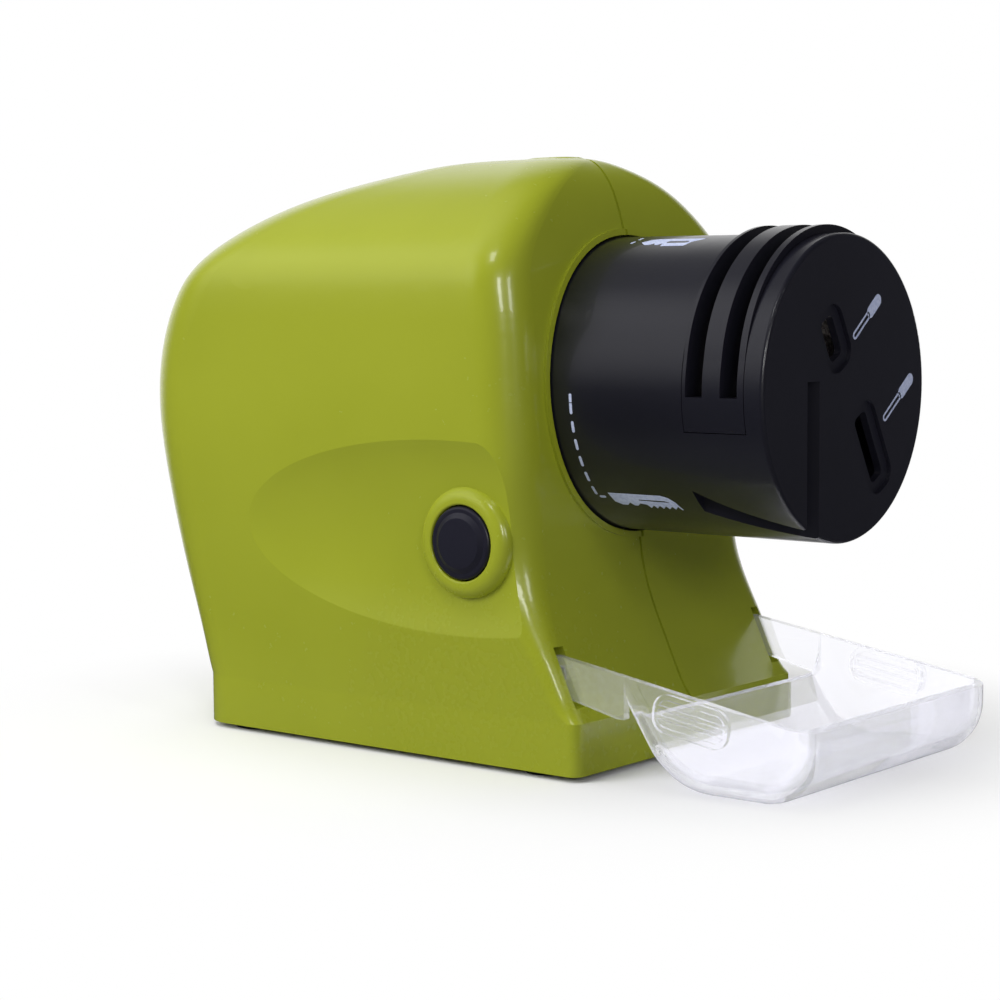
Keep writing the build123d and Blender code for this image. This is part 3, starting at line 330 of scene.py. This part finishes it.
# The heel, where the rear wall runs into the floor, is one large bend: a fan of cuts is made
# across a copy of the tray, and what lies between them is drawn in towards the bend's centre.
# What lies nearer to the centre than heel_still stays, and from heel_moved on it moves in full.
heel_radius = 0.011
heel_still = 0.0050
heel_moved = 0.0074
heel_steps = 14
floor_corner = Vector((0.046, 0, 0))
wall_top = Vector((0.0404, 0, 0.0086))
heel_angle = math.acos((floor_corner - wall_top).normalized().x)
heel_centre = floor_corner + Vector((heel_radius * math.tan(heel_angle / 2), 0, heel_radius))
flat_angle = math.radians(0.3)
crease_angle = math.radians(25)
weld_gap = 1e-6
cut_gap = 1e-7


def copy_of(name, node, graph):
    """A copy of a CAD node with its place in its mesh, in one finish."""
    new = bpy.data.objects.new(name, node.data.copy())
    bpy.context.scene.collection.objects.link(new)
    new.data.transform(node.matrix_world)
    new.data.materials.clear()
    new.data.materials.append(graph.owner)
    return new


tray = copy_of("rounded_tray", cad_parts["chip_tray"], clear)
work = bmesh.new()
work.from_mesh(tray.data)
bmesh.ops.remove_doubles(work, verts=work.verts, dist=weld_gap)
bmesh.ops.dissolve_limit(work, angle_limit=flat_angle, verts=work.verts, edges=work.edges)
for step in range(heel_steps + 1):
    turn = heel_angle * step / heel_steps
    bmesh.ops.bisect_plane(work, geom=work.verts[:] + work.edges[:] + work.faces[:], dist=cut_gap,
                           plane_co=heel_centre, plane_no=(math.cos(turn), 0, -math.sin(turn)))
for vertex in work.verts:
    out = vertex.co - heel_centre
    turn = math.atan2(-out.x, -out.z)
    if 0 < turn < heel_angle:
        squeeze = math.cos(min(turn, heel_angle - turn))
        depth = math.hypot(out.x, out.z) * squeeze
        share = min(1, max(0, (depth - heel_still) / (heel_moved - heel_still)))
        factor = 1 - share * share * (3 - 2 * share) * (1 - squeeze)
        vertex.co = heel_centre + Vector((out.x * factor, out.y, out.z * factor))
bmesh.ops.recalc_face_normals(work, faces=work.faces)
work.to_mesh(tray.data)
work.free()
bpy.ops.object.select_all(action="DESELECT")
tray.select_set(True)
bpy.context.view_layer.objects.active = tray
bpy.ops.mesh.customdata_custom_splitnormals_clear()
bpy.ops.object.shade_smooth_by_angle(angle=crease_angle)
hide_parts("chip_tray")
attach(tray, "tray")
dress(clear, "chip_tray")

# ================================================================ grinding stone
# White fused-alumina wheel, its grains showing on the rim and the bevels.
stone = finish("alumina_stone", {"IOR": 1.6})
grain_size = 0.0003125
grains = stone.node("ShaderNodeTexVoronoi", sockets={"Vector": stone.place, "Scale": 1 / grain_size})
pores = noise(stone, stone.place, size=0.0006, detail=3)
fired = stone.mixed(pores.ramp(0.4, 0.65), srgb(196, 188, 184), srgb(148, 138, 134))
surface(stone, fired, 0.85 + 0.1 * pores, grains + pores, depth=0.00012)
dress(stone, "grinding_stone")


# ================================================================ metal parts
# Bright screws, shaft, nut and ball; brass bushes and contacts; the motor's plated can, its
# laminated iron core, its enamelled windings, and its dull ferrite magnets and carbon brushes.
polish_lines = (40.0, 600.0, 600.0)


def metal(name, bright, dull, roughness):
    """Metal with duller stains, and with faint scratches drawn out along one axis."""
    graph = finish(name, {"Metallic": 1.0})
    stain = noise(graph, graph.place, size=0.004, detail=4)
    drawn_out = graph.node("ShaderNodeMapping", sockets={"Vector": graph.place, "Scale": polish_lines})
    scratch = noise(graph, drawn_out, size=0.2, detail=2)
    colour = graph.mixed(stain.ramp(0.35, 0.7), bright, dull)
    return surface(graph, colour, roughness + 0.12 * scratch, scratch, depth=0.00001)


steel = metal("bright_steel", srgb(196, 197, 200), srgb(160, 162, 166), roughness=0.22)
dress(steel, "case_screws", "ring_screws", "detent_ball", "detent_spring", "motor_shaft",
      "stone_hub", "stone_nut", "button_spring", "contact_springs")
plated = metal("zinc_plated_can", srgb(176, 178, 178), srgb(148, 150, 152), roughness=0.34)
dress(plated, "motor_can")
brass = metal("brass", srgb(214, 178, 102), srgb(178, 142, 74), roughness=0.28)
dress(brass, "front_bush", "rear_bush", "motor_terminals", "contact_plates", "commutator")

iron = finish("laminated_iron", {"Metallic": 1.0})
sheets = iron.node("ShaderNodeTexWave", {"wave_type": "BANDS", "bands_direction": "X"},
                   {"Vector": iron.place, "Scale": 620.0})
stacked = iron.mixed(sheets, srgb(92, 94, 98), srgb(132, 134, 138))
surface(iron, stacked, 0.4 + 0.1 * sheets, sheets, depth=0.00005)
dress(iron, "armature_core")

copper = finish("enamelled_wire", {"Metallic": 1.0, "Coat Weight": 0.5})
turns = copper.node("ShaderNodeTexWave", {"wave_type": "RINGS", "rings_direction": "SPHERICAL"},
                    {"Vector": copper.place, "Scale": 900.0, "Distortion": 0.6})
wound = copper.mixed(turns, srgb(150, 78, 40), srgb(206, 124, 72))
surface(copper, wound, 0.3 + 0.1 * turns, turns, depth=0.0001)
dress(copper, "armature_windings")

ferrite = finish("ferrite", {})
grit = noise(ferrite, ferrite.place, size=0.0008, detail=4)
pressed = ferrite.mixed(grit.ramp(0.3, 0.7), srgb(62, 61, 64), srgb(48, 47, 50))
surface(ferrite, pressed, 0.6 + 0.2 * grit, grit, depth=0.00005)
dress(ferrite, "motor_magnets", "motor_brushes")

# ================================================================ button spring
# The coil behind the button, as a copy of the CAD coil in its place; the CAD coil is hidden.
spring = copy_of("return_spring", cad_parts["button_spring"], steel)
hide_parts("button_spring")
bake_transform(spring)

# ================================================================ inner plastic
# Unpolished plastic of the holder, the switch, the motor's end cap and the keeper ring.
dark_inner = moulded("inner_plastic", srgb(52, 52, 54), srgb(44, 44, 46),
                     gloss=0.5, coat=0.0, **inner_ripple)
dress(dark_inner, "battery_holder", "switch_body")
dress(natural, "motor_end_cap", "retaining_ring")

# ================================================================ feet
# Soft pads of black rubber, dull and slightly dusty.
rubber = finish("rubber", {"IOR": 1.45})
dust = noise(rubber, rubber.place, size=0.0015, detail=4)
dusty = rubber.mixed(dust.ramp(0.35, 0.75), srgb(38, 38, 39), srgb(58, 58, 58))
surface(rubber, dusty, 0.75 + 0.15 * dust, dust, depth=0.00008)
dress(rubber, "rubber_feet")

# ================================================================ cells and leads
# Zinc-carbon cells in a plain sleeve with one paler band, and PVC-covered leads.
sleeve_dark = srgb(40, 44, 52)
sleeve_band = srgb(176, 178, 180)
band_length = 0.011
band_edge = 0.00025
nub_forward = (1, 4)
for number in range(1, 5):
    cell = f"aa_cell_{number}"
    low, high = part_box(cell)
    sleeve = finish(f"cell_sleeve_{number}", {"Metallic": 0.6})
    across = sleeve.node("ShaderNodeSeparateXYZ", sockets={0: sleeve.place}, output="X")
    from_nub = (high.x - across) if number in nub_forward else (across - low.x)
    band = (band_length - from_nub) / band_edge
    scuff = noise(sleeve, sleeve.place, size=0.003, detail=3)
    sleeved = sleeve.mixed(band.ramp(0, 1), sleeve_dark, sleeve_band)
    surface(sleeve, sleeved, 0.3 + 0.1 * scuff, scuff, depth=0.00002)
    dress(sleeve, cell)

red_cover = (srgb(176, 26, 24), srgb(150, 20, 20))
black_cover = (srgb(34, 34, 35), srgb(26, 26, 27))
for lead, (pale, deep) in (("red_lead", red_cover), ("switch_lead", red_cover), ("black_lead", black_cover)):
    cover = moulded(f"{lead}_cover", pale, deep, gloss=0.42, coat=0.0, ripple=0.002, ripple_depth=0.00003)
    dress(cover, lead)

# ================================================================ prints on the barrel
# Pale blue pad prints: a dashed arc that guides the drum's turn, ending at a serrated
# knife, and a plain knife near the top. Each is a thin film of ink on the barrel.
drum_line = Vector((0, 0, 0.0496))
drum_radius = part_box("drum_barrel")[1].y
ink_proud = 0.00003
ink_thick = 0.00006
ink_weld = 1e-7
ink = finish("pale_blue_ink", {"IOR": 1.45})
screen = noise(ink, ink.place, size=0.0004, detail=3)
printed = ink.mixed(screen.ramp(0.3, 0.7), srgb(200, 208, 236), srgb(178, 188, 222))
surface(ink, printed, 0.4 + 0.15 * screen, screen, depth=0.00001)


def film(name, outlines):
    """A flat sheet from closed outlines in the XY plane; an outline inside another is a hole."""
    curve = bpy.data.curves.new(name, "CURVE")
    curve.dimensions = "2D"
    curve.fill_mode = "BOTH"
    for outline in outlines:
        spline = curve.splines.new("POLY")
        spline.points.add(len(outline) - 1)
        for point, (u, v) in zip(spline.points, outline):
            point.co = (u, v, 0, 1)
        spline.use_cyclic_u = True
    sheet = bpy.data.objects.new(name, curve)
    bpy.context.scene.collection.objects.link(sheet)
    bpy.ops.object.select_all(action="DESELECT")
    sheet.select_set(True)
    bpy.context.view_layer.objects.active = sheet
    bpy.ops.object.convert(target="MESH")
    return bpy.context.object


def arc(centre, radius, start, end, steps=8):
    """Points along an arc, angles in degrees."""
    turns = [math.radians(start + (end - start) * step / steps) for step in range(steps + 1)]
    return [(centre[0] + radius * math.cos(turn), centre[1] + radius * math.sin(turn)) for turn in turns]


def stadium(length, width):
    """A bar with round ends, centred on the origin."""
    half = (length - width) / 2
    return arc((half, 0), width / 2, -90, 90) + arc((-half, 0), width / 2, 90, 270)


def shifted(outline, u, v, turn=0.0):
    """An outline turned by some degrees and then moved."""
    cosine, sine = math.cos(math.radians(turn)), math.sin(math.radians(turn))
    return [(u + a * cosine - b * sine, v + a * sine + b * cosine) for a, b in outline]


def scaled(points, length, width):
    """An outline drawn in shares of a length and a width."""
    return [(length * u, width * v) for u, v in points]


def knife(length, width, teeth):
    """A filled handle with finger grooves, and a blade with a fuller; teeth along its edge or none."""
    handle = [(0.40, -0.16), (0.35, -0.36), (0.30, -0.36), (0.25, -0.14), (0.20, -0.34), (0.12, -0.34),
              (0.03, -0.12)]
    if not teeth:
        outline = [(0.0, -0.02), (0.09, 0.36), (0.20, 0.5), (1.0, 0.5), (0.82, -0.5), (0.43, -0.5)]
        fuller = shifted(stadium(0.38 * length, 0.3 * width), 0.63 * length, 0)
        return scaled(outline + handle, length, width), fuller
    edge_tip, edge_heel = 0.98, 0.44
    pitch = (edge_tip - edge_heel) / teeth
    outline = [(0.0, 0.5), (0.78, 0.5), (0.88, 0.36), (0.95, 0.06), (1.0, -0.5)]
    for tooth in range(teeth):
        point = edge_tip - tooth * pitch
        outline += [(point, -0.5), (point - 0.35 * pitch, -0.24)]
    fuller = [(0.41, 0.14), (0.41, 0.04), (0.86, 0.0), (0.86, 0.06), (0.80, 0.14)]
    return scaled(outline + handle, length, width), scaled(fuller, length, width)


def print_on_barrel(name, outlines):
    """Wraps a flat sheet round the barrel: its x runs along the drum and its y round it, up from -Y."""
    sheet = film(name, outlines)
    for vertex in sheet.data.vertices:
        turn = vertex.co.y / drum_radius
        radius = drum_radius + ink_proud
        vertex.co = Vector((vertex.co.x, -radius * math.cos(turn), radius * math.sin(turn))) + drum_line
    return inked(sheet, lambda place: Vector((0, place.y, place.z)))


def inked(sheet, way_out):
    """Gives a sheet its thickness, finish and body; way_out gives the way out at a place on the drum."""
    work = bmesh.new()
    work.from_mesh(sheet.data)
    bmesh.ops.remove_doubles(work, verts=work.verts, dist=ink_weld)
    for face in work.faces:
        if face.normal.dot(way_out(face.calc_center_median() - drum_line)) < 0:
            face.normal_flip()
    work.to_mesh(sheet.data)
    work.free()
    thicken = sheet.modifiers.new("thickness", "SOLIDIFY")
    thicken.thickness = ink_thick
    thicken.offset = -1
    bpy.context.view_layer.objects.active = sheet
    bpy.ops.object.modifier_apply(modifier=thicken.name)
    sheet.data.materials.append(ink.owner)
    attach(sheet, "drum")
    return sheet


# Lengths and places round the barrel are in degrees of it, and dash_x is along the drum.
degree = math.radians(1) * drum_radius
dash_x = 0.0292
dash_width = 0.00042
dash_lengths = (7.8, 4.5, 4.5, 4.5, 4.5, 4.5)
dash_gap = 2.6
arc_top = -1.4
hook_length = 0.0010
hook_x = 0.0300
hook_turn = -45.8
high_dash_length = 8.5
high_dash_turn = 75.6
dashes = []
dash_top = arc_top
for length in dash_lengths:
    middle = (dash_top - length / 2) * degree
    dashes.append(shifted(stadium(length * degree, dash_width), dash_x, middle, 90))
    dash_top -= length + dash_gap
dashes.append(shifted(stadium(hook_length, dash_width), hook_x, hook_turn * degree))
dashes.append(shifted(stadium(high_dash_length * degree, dash_width), dash_x, high_dash_turn * degree, 90))
print_on_barrel("turn_marks", dashes)

serrated_knife = {"length": 0.0106, "width": 0.0027, "teeth": 6}
plain_knife = {"length": 0.0091, "width": 0.0031, "teeth": 0}
for name, start, turn, shape in (("serrated_knife_print", 0.0312, -47.3, serrated_knife),
                                 ("plain_knife_print", 0.0307, 72.6, plain_knife)):
    print_on_barrel(name, [shifted(outline, start, turn * degree) for outline in knife(**shape)])

# ================================================================ prints on the cover
# Two small screwdrivers beside the holes for screwdriver tips, in the same ink: filled
# handles and outlined shafts.
cover_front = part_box("drum_cover")[1].x


def print_on_cover(name, outlines):
    """Stands a flat sheet on the cover: x of the sheet runs to +Y and y up from the axis."""
    sheet = film(name, outlines)
    for vertex in sheet.data.vertices:
        vertex.co = Vector((cover_front + ink_proud, vertex.co.x, vertex.co.y)) + drum_line
    return inked(sheet, lambda place: Vector((1, 0, 0)))


driver_marks = (("small_driver_print", (0.0015, 0.0064), (0.0082, 0.0116)),
                ("large_driver_print", (0.0092, -0.0044), (0.0167, 0.0011)))
handle_share = 0.47
handle_width = 0.0016
shaft_width = 0.00105
shaft_line = 0.00028
for name, tip, butt in driver_marks:
    run = Vector(butt) - Vector(tip)
    lean = math.degrees(math.atan2(run.y, run.x))
    handle = run.length * handle_share
    shaft = run.length - handle + shaft_width / 2
    middle = Vector(butt) - run.normalized() * handle / 2
    print_on_cover(name + "_handle", [shifted(stadium(handle, handle_width), *middle, lean)])
    middle = Vector(tip) + run.normalized() * shaft / 2
    bore = stadium(shaft - 2 * shaft_line, shaft_width - 2 * shaft_line)
    print_on_cover(name + "_shaft", [shifted(outline, *middle, lean)
                                     for outline in (stadium(shaft, shaft_width), bore)])
